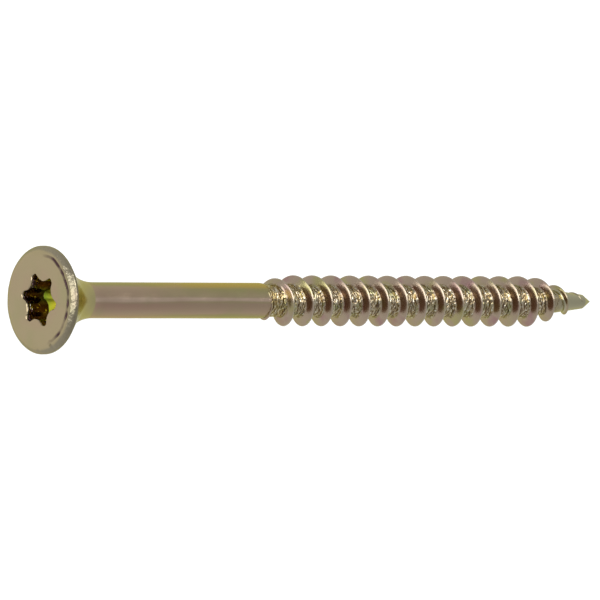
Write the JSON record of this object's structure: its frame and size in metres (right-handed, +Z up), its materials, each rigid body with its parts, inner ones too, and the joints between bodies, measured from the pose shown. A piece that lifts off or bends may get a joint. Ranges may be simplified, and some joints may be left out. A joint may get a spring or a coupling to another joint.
{
  "type": "wood screw",
  "caption": "Countersunk wood screw with a star-shaped drive recess, a plain shank, a coarse right-hand thread and a sharp point, in yellow-passivated zinc.",
  "frame": {"origin": "centre of the head's flat top face, on the screw's axis: the point that is flush with the timber when the screw is driven home", "axes": "+X along the screw's axis from the head to the point, +Z up, +Y completes the right-handed frame"},
  "size_m": [0.06, 0.009, 0.009],
  "materials": {
    "yellow_zinc": "hardened steel, zinc plated and yellow passivated: satin khaki-gold with faint pink and green interference bands, rough in the thread roots, near black deep in the recess"
  },
  "bodies": {
    "root": {"wood_screw": "yellow_zinc"}
  },
  "joints": []
}
